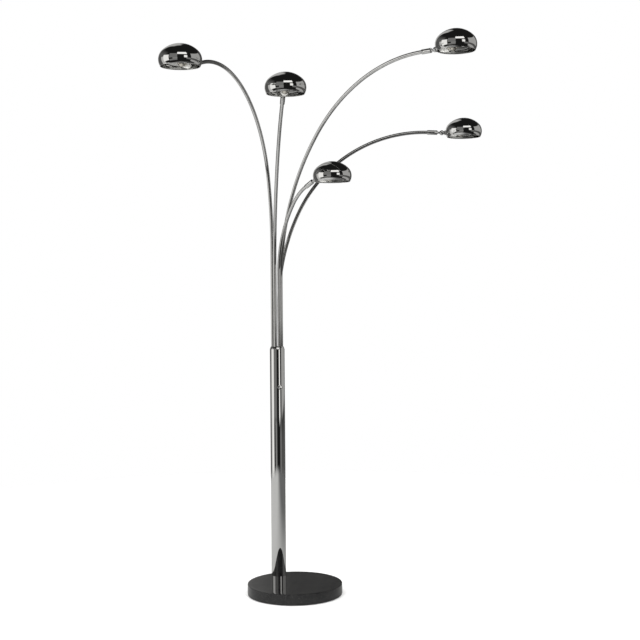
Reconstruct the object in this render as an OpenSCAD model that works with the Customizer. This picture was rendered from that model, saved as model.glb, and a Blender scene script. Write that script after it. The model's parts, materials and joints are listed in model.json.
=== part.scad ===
// Five-arm arc floor lamp: stone base, off-centre post, five swivelling arc arms
// that fan out of a crown cap, each with a tilting dome shade.
// Millimetres. +Z is up. The origin is the centre of the base's underside.

/* [Base] */
// Diameter of the stone disc
base_diameter = 350; // [280:1:420]
// Thickness of the stone disc
stone_thickness = 38; // [25:1:60]
// Thickness of the rubber pad under the stone
pad_thickness = 2; // [1:0.5:4]
// Bevel on the stone's edges
stone_bevel = 2; // [0.5:0.5:5]
// Distance of the post from the base's centre
post_offset = 140; // [0:1:150]
// Compass direction of the post from the base's centre, from +X towards +Y
post_bearing = 117; // [-180:1:180]

/* [Post and crown] */
// Outer diameter of the post
post_diameter = 56; // [46:0.5:70]
// Wall of the post tube
post_wall = 1.5; // [1:0.1:3]
// Length of the post tube above the stone
post_length = 858; // [600:1:1100]
// Height of the crown cap's cone above the post
cap_rise = 10; // [5:0.5:20]
// Length of the crown cap's skirt inside the post
cap_skirt = 30; // [20:1:50]
// Depth of the arms' lower bearing below the post's top
guide_depth = 98; // [80:1:200]
// Thickness of the lower bearing plate
guide_thickness = 14; // [10:1:25]
// Diameter of the tie rod
rod_diameter = 8; // [6:0.5:10]

/* [Dimmer] */
// Distance of the dimmer below the post's top
dimmer_drop = 143; // [120:1:400]
// Compass direction that the dimmer faces
dimmer_bearing = -70; // [-180:1:180]
// Diameter of the dimmer's knob
knob_diameter = 14; // [10:0.5:18]
// How far the knob stands out of its nut
knob_length = 11; // [7:0.5:20]

/* [Arms] */
// Outer diameter of the arm tubes
tube_diameter = 13; // [10:0.5:16]
// Wall of the arm tubes
tube_wall = 1.2; // [0.8:0.1:2]
// Web between neighbouring arm bores in the crown cap
crown_web = 2.8; // [1.5:0.1:5]
// direction of the first arm's seat, seen from above (degrees)
first_seat = 190; // [150:1:230]
// angle from one arm's seat to the next (degrees)
seat_spacing = 58; // [54:0.5:70]
// Direction of arm 1
arm_1_bearing = -109.5; // [-130:0.5:-95]
// Straight length of arm 1 above the crown
arm_1_straight = 375; // [100:1:400]
// Lower bend radius of arm 1
arm_1_lower_radius = 1050; // [800:5:2500]
// Lower bend angle of arm 1
arm_1_lower_sweep = 15; // [5:0.5:40]
// Upper bend radius of arm 1
arm_1_upper_radius = 465; // [250:5:800]
// Upper bend angle of arm 1
arm_1_upper_sweep = 94; // [40:0.5:100]
// Direction of arm 2
arm_2_bearing = -83.5; // [-90:0.5:-70]
// Straight length of arm 2 above the crown
arm_2_straight = 294; // [150:1:400]
// Lower bend radius of arm 2
arm_2_lower_radius = 500; // [200:5:600]
// Lower bend angle of arm 2
arm_2_lower_sweep = 30; // [5:0.5:50]
// Upper bend radius of arm 2
arm_2_upper_radius = 820; // [500:5:1500]
// Upper bend angle of arm 2
arm_2_upper_sweep = 32.5; // [20:0.5:80]
// Direction of arm 3
arm_3_bearing = -46; // [-60:0.5:-46]
// Straight length of arm 3 above the crown
arm_3_straight = 281; // [150:1:400]
// Lower bend radius of arm 3
arm_3_lower_radius = 435; // [300:5:800]
// Lower bend angle of arm 3
arm_3_lower_sweep = 37; // [5:0.5:50]
// Upper bend radius of arm 3
arm_3_upper_radius = 180; // [150:5:500]
// Upper bend angle of arm 3
arm_3_upper_sweep = 27.5; // [20:0.5:60]
// Direction of arm 4
arm_4_bearing = -43.5; // [-45:0.5:-30]
// Straight length of arm 4 above the crown
arm_4_straight = 242; // [150:1:400]
// Lower bend radius of arm 4
arm_4_lower_radius = 865; // [500:5:1500]
// Lower bend angle of arm 4
arm_4_lower_sweep = 39.5; // [5:0.5:50]
// Upper bend radius of arm 4
arm_4_upper_radius = 635; // [300:5:900]
// Upper bend angle of arm 4
arm_4_upper_sweep = 51; // [30:0.5:80]
// Direction of arm 5
arm_5_bearing = 6; // [-10:0.5:40]
// Straight length of arm 5 above the crown
arm_5_straight = 165; // [100:1:300]
// Lower bend radius of arm 5
arm_5_lower_radius = 795; // [400:5:1500]
// Lower bend angle of arm 5
arm_5_lower_sweep = 26; // [5:0.5:50]
// Upper bend radius of arm 5
arm_5_upper_radius = 545; // [300:5:900]
// Upper bend angle of arm 5
arm_5_upper_sweep = 65; // [30:0.5:80]

/* [Knuckles] */
// Length of the sleeve on each arm's end
sleeve_length = 39; // [25:1:60]
// Wall of the sleeve over the tube
sleeve_wall = 2; // [1.5:0.1:4]
// Length of the thin neck between sleeve and ball fork
neck_length = 8.5; // [4:0.5:20]
// Diameter of the thin neck
neck_diameter = 8; // [6:0.5:12]
// Diameter of the ball fork
fork_diameter = 19; // [16:0.5:26]
// Diameter of the pivot pin
pin_diameter = 5; // [3:0.5:8]
// Thickness of the tongue in the fork
tongue_thickness = 5; // [3:0.5:8]

/* [Shades] */
// Widest diameter of each shade
shade_diameter = 140; // [110:1:180]
// Height of the dome above its widest level
dome_rise = 52; // [42:0.5:80]
// Radius of the dome's side
side_radius = 40; // [30:0.5:50]
// Depth of the rim below the widest level
rim_drop = 21; // [15:0.5:35]
// Thickness of the shade's metal
shade_wall = 1.2; // [0.8:0.1:2.5]
// Height of the widest level above the knuckle's axis
attach_drop = 6; // [0:0.5:15]
// Gap between the pivot and the shade's widest edge
shade_reach = 16.5; // [13:0.5:30]

/* [Lampholders] */
// Diameter of the lampholder
holder_diameter = 26; // [22:0.5:30]
// Length of the lampholder
holder_length = 34; // [25:1:45]
// Diameter of the lamp's screw base
cap_diameter = 14; // [12:0.5:18]
// Diameter of the glass bulb
bulb_diameter = 28; // [25:1:36]

/* [Fits] */
// Radial clearance of what turns in a bore
run_clear = 0.05; // [0.01:0.01:0.1]
// Radial clearance of pieces that are fixed together
fix_clear = 0.02; // [0:0.01:0.1]
// Gap between pieces that pass each other without a fit
pass_gap = 0.3; // [0.3:0.1:1]

/* [Hidden] */
$fn = 64;

chrome = [0.78, 0.79, 0.80];
steel = [0.58, 0.59, 0.60];
dark = [0.08, 0.08, 0.08];
white = [0.93, 0.93, 0.91];

base_top = pad_thickness + stone_thickness;
base_r = base_diameter / 2;
post_x = post_offset * cos(post_bearing);
post_y = post_offset * sin(post_bearing);
post_r = post_diameter / 2;
bore_r = post_r - post_wall;
post_top = base_top + post_length;
cap_top = post_top + cap_rise;

well_r = 27;
well_depth = 15;
well_top = pad_thickness + well_depth;
rod_r = rod_diameter / 2;
rod_bottom = pad_thickness + 1.5;
nut_height = 6.5;
nut_across = 13 / 8 * rod_diameter;
washer_height = 3;
plug_height = 25;
wire_r = 3.2;

tube_r = tube_diameter / 2;
tube_bore_r = tube_r - tube_wall;
arm_count = 5;
pitch_r = (tube_diameter + crown_web) / 2 / sin(seat_spacing / 2);
cap_top_r = min(pitch_r + tube_r + 1.5, post_r - 1);
guide_top = post_top - guide_depth;
shoulder_z = guide_top - guide_thickness / 2;
tube_bottom = shoulder_z + pass_gap;
// The bends lap by this length with a small step, so each tube is one solid.
lap = 0.6;
step = 0.03;

// direction, seat on the pitch circle, straight, lower radius and sweep, upper radius and sweep
ARMS = [
  [arm_1_bearing, first_seat, arm_1_straight, arm_1_lower_radius, arm_1_lower_sweep, arm_1_upper_radius, arm_1_upper_sweep],
  [arm_2_bearing, first_seat + seat_spacing, arm_2_straight, arm_2_lower_radius, arm_2_lower_sweep, arm_2_upper_radius, arm_2_upper_sweep],
  [arm_3_bearing, first_seat + 2 * seat_spacing, arm_3_straight, arm_3_lower_radius, arm_3_lower_sweep, arm_3_upper_radius, arm_3_upper_sweep],
  [arm_4_bearing, first_seat + 3 * seat_spacing, arm_4_straight, arm_4_lower_radius, arm_4_lower_sweep, arm_4_upper_radius, arm_4_upper_sweep],
  [arm_5_bearing, first_seat + 4 * seat_spacing, arm_5_straight, arm_5_lower_radius, arm_5_lower_sweep, arm_5_upper_radius, arm_5_upper_sweep]];

sleeve_r = tube_r + sleeve_wall;
spigot_r = tube_r - 0.3;
spigot_length = sleeve_length / 2;
fork_r = fork_diameter / 2;
pin_z = sleeve_length + neck_length + fork_r;
fork_half = fork_r - 1.5;
tongue_r = fork_r - 2;
slot_depth = tongue_r + pass_gap + 0.2;
boss_r = fork_r - 1;
boss_start = fork_r + 1;
nipple_r = 5;
nut_r = fork_r - 0.5;

shade_r = shade_diameter / 2;
side_x = shade_r - side_radius;
crown_z = (pow(dome_rise - side_radius, 2) - pow(side_x, 2)) / 2 / (dome_rise - side_radius);
crown_r = dome_rise - crown_z;
join_angle = atan2(-crown_z, side_x);
rim_angle = asin(rim_drop / side_radius);
shade_x = shade_reach + shade_r;
holder_x = shade_reach + 6;
holder_end = holder_x + holder_length;
bulb_r = bulb_diameter / 2;

dimmer_z = post_top - dimmer_drop;
dimmer_body_r = 11;
dimmer_bush_r = 5;
spindle_r = 3;
bezel_r = knob_diameter / 2 + 2;
bezel_x = post_r + 3.5;
knob_x = bezel_x + pass_gap + 0.1;

module at_post() {
  translate([post_x, post_y, 0]) children();
}

// the frame of an arm at the crown's top: +X along its direction
module at_seat(i) {
  at_post()
    translate([pitch_r * cos(ARMS[i][1]), pitch_r * sin(ARMS[i][1]), cap_top])
      rotate([0, 0, ARMS[i][0]]) children();
}

// the frame at the end of an arm's bends: +Z runs out of the tube
module at_end(i) {
  at_seat(i) translate([ARMS[i][3], 0, ARMS[i][2]]) rotate([0, ARMS[i][4], 0])
    translate([ARMS[i][5] - ARMS[i][3], 0, 0]) rotate([0, ARMS[i][6], 0])
      translate([-ARMS[i][5], 0, 0]) children();
}

// the level frame at an arm's pivot pin: +X points to the shade
module at_pivot(i) {
  at_end(i) translate([0, 0, pin_z]) rotate([0, -ARMS[i][4] - ARMS[i][6], 0]) children();
}

module at_shade(i) {
  at_pivot(i) translate([shade_x, 0, attach_drop]) children();
}

// a cylinder along +X between two stations
module rod_x(r, from, to) {
  translate([from, 0, 0]) rotate([0, 90, 0]) cylinder(r = r, h = to - from);
}

// a cylinder along Y, centred
module rod_y(r, width) {
  rotate([90, 0, 0]) cylinder(r = r, h = width, center = true);
}

module pipe(r, bore, height) {
  difference() {
    cylinder(r = r, h = height);
    translate([0, 0, -1]) cylinder(r = bore, h = height + 2);
  }
}

// a bent pipe that starts upright at the origin and leans towards +X
module bend(r, bore, radius, sweep) {
  translate([radius, 0, 0]) rotate([-90, 0, 0]) rotate([0, 0, 180])
    rotate_extrude(angle = sweep, $fn = 128)
      translate([radius, 0]) difference() { circle(r = r); circle(r = bore); }
}

module hex_nut(across, bore, height) {
  difference() {
    cylinder(r = across / 2 / cos(30), h = height, $fn = 6);
    translate([0, 0, -1]) cylinder(r = bore, h = height + 2);
  }
}

// ---- the stand ----

module stone_base() {
  color(dark) difference() {
    translate([0, 0, pad_thickness]) rotate_extrude($fn = 128)
      polygon([[0, 0], [base_r - stone_bevel, 0], [base_r, stone_bevel],
               [base_r, stone_thickness - stone_bevel],
               [base_r - stone_bevel, stone_thickness], [0, stone_thickness]]);
    at_post() {
      translate([0, 0, pad_thickness - 1]) cylinder(r = well_r, h = well_depth + 1);
      cylinder(r = rod_r + 2 * wire_r, h = base_top + 1);
      translate([0, 0, pad_thickness + well_depth / 2]) rotate([0, 0, post_bearing])
        rod_x(dimmer_bush_r, well_r - 6, base_r);
    }
  }
}

module base_pad() {
  color([0.12, 0.12, 0.12]) difference() {
    cylinder(r = base_r - 8, h = pad_thickness, $fn = 128);
    at_post() translate([0, 0, -1]) cylinder(r = well_r, h = pad_thickness + 2);
  }
}

module cable_gland() {
  color([0.1, 0.1, 0.1]) difference() {
    union() {
      rotate([0, 0, post_bearing]) translate([0, 0, pad_thickness + well_depth / 2]) {
        rod_x(dimmer_bush_r - fix_clear, post_offset + well_r - 1, base_r + 1);
        difference() {
          rod_x(well_depth / 2, base_r - 4, base_r + 3);
          translate([0, 0, -20]) cylinder(r = base_r, h = 40, $fn = 128);
        }
      }
    }
    rotate([0, 0, post_bearing]) translate([0, 0, pad_thickness + well_depth / 2])
      rod_x(wire_r, post_offset, base_r + 10);
  }
}

module rod_washer() {
  color(steel) at_post() translate([0, 0, well_top - washer_height]) difference() {
    cylinder(r = well_r - 4, h = washer_height);
    translate([0, 0, -1]) cylinder(r = rod_r + fix_clear, h = washer_height + 2);
    rotate([0, 0, post_bearing]) translate([rod_r + wire_r + 0.4, 0, -1])
      cylinder(r = wire_r, h = washer_height + 2);
  }
}

module rod_nut() {
  color(steel) at_post() translate([0, 0, well_top - washer_height - nut_height])
    hex_nut(nut_across, rod_r + fix_clear, nut_height);
}

module foot_plug() {
  color(steel) at_post() translate([0, 0, base_top]) difference() {
    cylinder(r = bore_r - fix_clear, h = plug_height);
    translate([0, 0, -1]) cylinder(r = rod_r + fix_clear, h = plug_height + 2);
    rotate([0, 0, post_bearing]) translate([rod_r + wire_r + 0.4, 0, -1])
      cylinder(r = wire_r, h = plug_height + 2);
  }
}

module terminal_block() {
  color(white) at_post() rotate([0, 0, post_bearing + 180])
    translate([rod_r + 2, -10, base_top + plug_height]) difference() {
      cube([12, 20, 14]);
      for (y = [4, 10, 16]) translate([6, y, 4]) cylinder(r = 1.6, h = 11);
    }
}

module post_tube() {
  color(chrome) at_post() difference() {
    translate([0, 0, base_top]) pipe(post_r, bore_r, post_length);
    translate([0, 0, dimmer_z]) rotate([0, 0, dimmer_bearing])
      rod_x(dimmer_bush_r + fix_clear, post_r / 2, post_r + 2);
    translate([0, 0, post_top - cap_skirt / 2]) rotate([0, 0, 90])
      rod_x(2 + fix_clear, post_r / 2, post_r + 2);
  }
}

module tie_rod() {
  color(steel) at_post() translate([0, 0, rod_bottom])
    cylinder(r = rod_r, h = post_top - cap_skirt / 3 - rod_bottom);
}

module crown_cap() {
  color(chrome) at_post() difference() {
    translate([0, 0, post_top - cap_skirt]) rotate_extrude($fn = 96)
      polygon([[0, 0], [bore_r - fix_clear, 0], [bore_r - fix_clear, cap_skirt],
               [post_r, cap_skirt], [cap_top_r, cap_skirt + cap_rise], [0, cap_skirt + cap_rise]]);
    for (i = [0 : arm_count - 1])
      translate([pitch_r * cos(ARMS[i][1]), pitch_r * sin(ARMS[i][1]), post_top - cap_skirt - 1])
        cylinder(r = tube_r + run_clear - step, h = cap_skirt + cap_rise + 2);
    translate([0, 0, post_top - cap_skirt - 1])
      cylinder(r = rod_r + fix_clear, h = cap_skirt * 2 / 3 + 1);
    translate([0, 0, post_top - cap_skirt / 2]) rotate([0, 0, 90])
      rod_x(2 + fix_clear, bore_r - 3, post_r + 2);
  }
}

module crown_screw() {
  color(steel) at_post() translate([0, 0, post_top - cap_skirt / 2]) rotate([0, 0, 90])
    difference() {
      rod_x(2, bore_r - 3 + fix_clear, post_r);
      translate([post_r, 0, 0]) rotate([0, 90, 0]) cylinder(r = 1.1, h = 3, center = true, $fn = 6);
    }
}

module guide_plate() {
  color(steel) at_post() difference() {
    translate([0, 0, guide_top - guide_thickness])
      cylinder(r = bore_r - fix_clear, h = guide_thickness);
    for (i = [0 : arm_count - 1])
      translate([pitch_r * cos(ARMS[i][1]), pitch_r * sin(ARMS[i][1]), 0]) {
        translate([0, 0, shoulder_z]) cylinder(r = tube_r + run_clear - step, h = guide_thickness);
        translate([0, 0, shoulder_z - guide_thickness]) cylinder(r = tube_bore_r - 0.5, h = guide_thickness + 1);
      }
    translate([0, 0, guide_top - guide_thickness - 1])
      cylinder(r = rod_r + fix_clear, h = guide_thickness + 2);
  }
}

// one above and one below the plate; the upper one is a thin round nut between the tubes
module guide_nuts() {
  color(steel) at_post() {
    translate([0, 0, guide_top - guide_thickness - nut_height])
      hex_nut(nut_across, rod_r + fix_clear, nut_height);
    translate([0, 0, guide_top])
      pipe(pitch_r - tube_r - pass_gap, rod_r + fix_clear, nut_height / 2);
  }
}

module dimmer_body() {
  color([0.15, 0.15, 0.16]) at_post() translate([0, 0, dimmer_z]) rotate([0, 0, dimmer_bearing])
    difference() {
      union() {
        intersection() {
          rod_x(dimmer_body_r, rod_r + 4, post_r);
          translate([0, 0, -20]) cylinder(r = bore_r - fix_clear, h = 40);
        }
        rod_x(dimmer_bush_r, rod_r + 6, bezel_x - 0.5);
      }
      rod_x(spindle_r + run_clear, rod_r + 7, bezel_x + 1);
    }
}

module dimmer_nut() {
  color(chrome) at_post() translate([0, 0, dimmer_z]) rotate([0, 0, dimmer_bearing])
    difference() {
      rod_x(bezel_r, bore_r - 4, bezel_x);
      translate([0, 0, -20]) cylinder(r = post_r, h = 40);
      rod_x(dimmer_bush_r + fix_clear, bore_r - 5, bezel_x + 1);
    }
}

// ---- the dimmer's turning pieces ----

module dimmer_spindle() {
  color(steel) at_post() translate([0, 0, dimmer_z]) rotate([0, 0, dimmer_bearing])
    rod_x(spindle_r, rod_r + 7 + pass_gap, knob_x + knob_length - 4);
}

module dimmer_knob() {
  color(chrome) at_post() translate([0, 0, dimmer_z]) rotate([0, 0, dimmer_bearing])
    difference() {
      translate([knob_x, 0, 0]) rotate([0, 90, 0]) rotate_extrude()
        polygon([[0, 0], [knob_diameter / 2, 0], [knob_diameter / 2, knob_length - 1.5],
                 [knob_diameter / 2 - 1.5, knob_length], [0, knob_length]]);
      rod_x(spindle_r + fix_clear, knob_x - 1, knob_x + knob_length - 4);
      translate([knob_x + knob_length, 0, knob_diameter / 4])
        cube([1.6, 0.8, knob_diameter / 2 + 1], center = true);
    }
}

// ---- one arm ----

module arm_tube(i) {
  color(chrome) {
    at_seat(i) {
      translate([0, 0, tube_bottom - cap_top])
        pipe(tube_r - step, tube_bore_r + step, cap_top - tube_bottom + ARMS[i][2]);
      translate([0, 0, ARMS[i][2]]) {
        bend(tube_r - step, tube_bore_r + step, ARMS[i][3], ARMS[i][4] + lap / ARMS[i][3] * 180 / PI);
        translate([ARMS[i][3], 0, 0]) rotate([0, ARMS[i][4], 0]) translate([-ARMS[i][3], 0, 0])
          bend(tube_r, tube_bore_r, ARMS[i][5], ARMS[i][6]);
      }
    }
    at_end(i) translate([0, 0, -lap]) pipe(spigot_r, tube_bore_r + 0.3, spigot_length + lap);
  }
}

// sleeve, neck and ball fork, turned from one bar
module arm_fork(i) {
  color(chrome) at_end(i) difference() {
    union() {
      cylinder(r = sleeve_r, h = sleeve_length);
      translate([0, 0, sleeve_length - 1]) cylinder(r = neck_diameter / 2, h = neck_length + 3);
      translate([0, 0, pin_z]) intersection() {
        sphere(r = fork_r);
        cube([2 * fork_r + 2, 2 * fork_half, 2 * fork_r + 2], center = true);
      }
    }
    translate([0, 0, -1]) cylinder(r = spigot_r + fix_clear, h = spigot_length + 1 + fix_clear);
    cylinder(r = 2.2, h = pin_z);
    translate([-fork_r - 1, -tongue_thickness / 2 - pass_gap, pin_z - slot_depth])
      cube([2 * fork_r + 2, tongue_thickness + 2 * pass_gap, 3 * fork_r]);
    translate([0, 0, pin_z]) rod_y(pin_diameter / 2 + fix_clear, 3 * fork_r);
  }
}

module pivot_pin(i) {
  color(steel) at_end(i) translate([0, 0, pin_z]) difference() {
    union() {
      rod_y(pin_diameter / 2, 2 * fork_half + 1);
      for (s = [-1, 1]) translate([0, s * (fork_half + 0.75), 0]) rod_y(pin_diameter / 2 + 1.5, 1.5);
    }
    translate([0, fork_half + 1.5, 0]) cube([pin_diameter + 4, 1.2, 1], center = true);
  }
}

// ---- one shade ----

// the solid ring that the shade's side follows
module side_ring(i, r) {
  at_shade(i) rotate_extrude($fn = 128) difference() {
    translate([side_x, 0]) circle(r = r);
    translate([-2 * r, -2 * r]) square([2 * r, 4 * r]);
  }
}

module shade_knuckle(i) {
  color(chrome) difference() {
    union() {
      difference() {
        at_pivot(i) {
          rod_y(tongue_r, tongue_thickness);
          translate([0, -tongue_thickness / 2, -tongue_r + 2])
            cube([boss_start + 1, tongue_thickness, 2 * tongue_r - 4]);
          rod_x(boss_r, boss_start, shade_reach + 2);
        }
        side_ring(i, side_radius);
      }
      at_pivot(i) rod_x(nipple_r, boss_start + 1, holder_x + 7);
    }
    at_pivot(i) {
      rod_y(pin_diameter / 2 + run_clear, 2 * tongue_thickness);
      rod_x(2.2, tongue_r - 1, holder_x + 8);
    }
  }
}

module shade(i) {
  color(chrome) difference() {
    at_shade(i) rotate_extrude($fn = 128) {
      difference() {
        intersection() {
          translate([0, crown_z]) difference() {
            circle(r = crown_r - step, $fn = 128);
            circle(r = crown_r - shade_wall + step, $fn = 128);
          }
          polygon([[0, crown_z], [0, dome_rise + 5], [shade_r + 20, dome_rise + 5],
                   [2 * shade_r * cos(join_angle - 0.6), crown_z + 2 * shade_r * sin(join_angle - 0.6)]]);
        }
        translate([-crown_r, -crown_r * 2]) square([crown_r, crown_r * 4]);
      }
      translate([side_x, 0]) intersection() {
        difference() { circle(r = side_radius, $fn = 128); circle(r = side_radius - shade_wall, $fn = 128); }
        polygon([[0, 0], [3 * side_radius * cos(join_angle), 3 * side_radius * sin(join_angle)],
                 [4 * side_radius, 0],
                 [3 * side_radius * cos(rim_angle), -3 * side_radius * sin(rim_angle)]]);
      }
      translate([side_x + (side_radius - shade_wall / 2) * cos(rim_angle),
                 -(side_radius - shade_wall / 2) * sin(rim_angle)]) circle(r = shade_wall * 0.9);
    }
    at_pivot(i) rod_x(nipple_r + fix_clear, shade_reach - 3, shade_reach + 6);
  }
}

module shade_nut(i) {
  color(steel) difference() {
    intersection() {
      at_pivot(i) rod_x(nut_r, shade_reach, holder_x);
      side_ring(i, side_radius - shade_wall);
    }
    at_pivot(i) rod_x(nipple_r + fix_clear, shade_reach - 1, holder_x + 1);
  }
}

module lampholder(i) {
  color(white) at_pivot(i) difference() {
    union() {
      rod_x(holder_diameter / 2 - 2, holder_x, holder_x + 10);
      rod_x(holder_diameter / 2, holder_x + 9, holder_end);
    }
    rod_x(nipple_r + fix_clear, holder_x - 1, holder_x + 8);
    rod_x(cap_diameter / 2 + 0.1, holder_x + 13, holder_end + 1);
  }
}

module bulb(i) {
  color([0.96, 0.94, 0.86]) at_pivot(i) union() {
    rod_x(cap_diameter / 2, holder_x + 13, holder_end + 1);
    rod_x(cap_diameter / 2 + 2, holder_end, holder_end + bulb_r / 2 + 2);
    translate([holder_end + bulb_r + 5, 0, 0]) sphere(r = bulb_r);
  }
}

stone_base();
base_pad();
cable_gland();
rod_washer();
rod_nut();
foot_plug();
terminal_block();
post_tube();
tie_rod();
crown_cap();
crown_screw();
guide_plate();
guide_nuts();
dimmer_body();
dimmer_nut();
dimmer_spindle();
dimmer_knob();
arm_tube(0);  // arm_tube_1
arm_fork(0);  // arm_fork_1
pivot_pin(0);  // pivot_pin_1
shade_knuckle(0);  // shade_knuckle_1
shade(0);  // shade_1
shade_nut(0);  // shade_nut_1
lampholder(0);  // lampholder_1
bulb(0);  // bulb_1
arm_tube(1);  // arm_tube_2
arm_fork(1);  // arm_fork_2
pivot_pin(1);  // pivot_pin_2
shade_knuckle(1);  // shade_knuckle_2
shade(1);  // shade_2
shade_nut(1);  // shade_nut_2
lampholder(1);  // lampholder_2
bulb(1);  // bulb_2
arm_tube(2);  // arm_tube_3
arm_fork(2);  // arm_fork_3
pivot_pin(2);  // pivot_pin_3
shade_knuckle(2);  // shade_knuckle_3
shade(2);  // shade_3
shade_nut(2);  // shade_nut_3
lampholder(2);  // lampholder_3
bulb(2);  // bulb_3
arm_tube(3);  // arm_tube_4
arm_fork(3);  // arm_fork_4
pivot_pin(3);  // pivot_pin_4
shade_knuckle(3);  // shade_knuckle_4
shade(3);  // shade_4
shade_nut(3);  // shade_nut_4
lampholder(3);  // lampholder_4
bulb(3);  // bulb_4
arm_tube(4);  // arm_tube_5
arm_fork(4);  // arm_fork_5
pivot_pin(4);  // pivot_pin_5
shade_knuckle(4);  // shade_knuckle_5
shade(4);  // shade_5
shade_nut(4);  // shade_nut_5
lampholder(4);  // lampholder_5
bulb(4);  // bulb_5
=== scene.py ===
"""Five-arm arc floor lamp: the visual pieces of the lamp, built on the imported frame.

Each sub-assembly is a class with its sizes as fields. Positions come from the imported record's
joints and from the nodes' boxes; the remaining sizes repeat the part's own values, in metres.
"""
import json
import logging
import math
from dataclasses import dataclass
from enum import Enum
from typing import Iterable, Sequence

import bmesh
import bpy
from mathutils import Matrix, Vector


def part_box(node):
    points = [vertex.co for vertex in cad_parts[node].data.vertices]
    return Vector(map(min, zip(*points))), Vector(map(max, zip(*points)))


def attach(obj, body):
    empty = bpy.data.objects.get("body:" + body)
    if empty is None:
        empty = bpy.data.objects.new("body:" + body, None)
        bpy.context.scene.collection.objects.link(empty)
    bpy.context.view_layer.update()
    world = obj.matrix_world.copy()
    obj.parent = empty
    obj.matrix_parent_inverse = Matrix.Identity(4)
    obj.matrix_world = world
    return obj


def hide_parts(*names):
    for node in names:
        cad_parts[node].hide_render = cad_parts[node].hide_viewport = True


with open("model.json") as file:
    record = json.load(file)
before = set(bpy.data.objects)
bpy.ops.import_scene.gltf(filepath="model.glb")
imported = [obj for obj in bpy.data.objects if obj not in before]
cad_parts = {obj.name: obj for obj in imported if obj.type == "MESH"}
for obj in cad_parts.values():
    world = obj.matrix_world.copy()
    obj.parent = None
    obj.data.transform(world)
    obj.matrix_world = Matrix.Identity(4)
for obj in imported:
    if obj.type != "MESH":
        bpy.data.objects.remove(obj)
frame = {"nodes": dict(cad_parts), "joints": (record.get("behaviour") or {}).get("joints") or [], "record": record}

LOG = logging.getLogger("arc_lamp")
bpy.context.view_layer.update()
ARMS = 5

Profile = list[tuple[float, float]]
Colour = tuple[float, float, float]


# ---------------------------------------------------------------------------
# Shader effects that several finishes share
# ---------------------------------------------------------------------------


class Effect(Enum):
    """The shared shader effects, by the name of their node group."""

    SMUDGE = "hand_smudges"
    HAIRLINE = "hairline_scratches"
    SPECKLE = "mineral_speckle"
    DUST = "settled_dust"
    MOTTLE = "soft_mottle"


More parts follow.
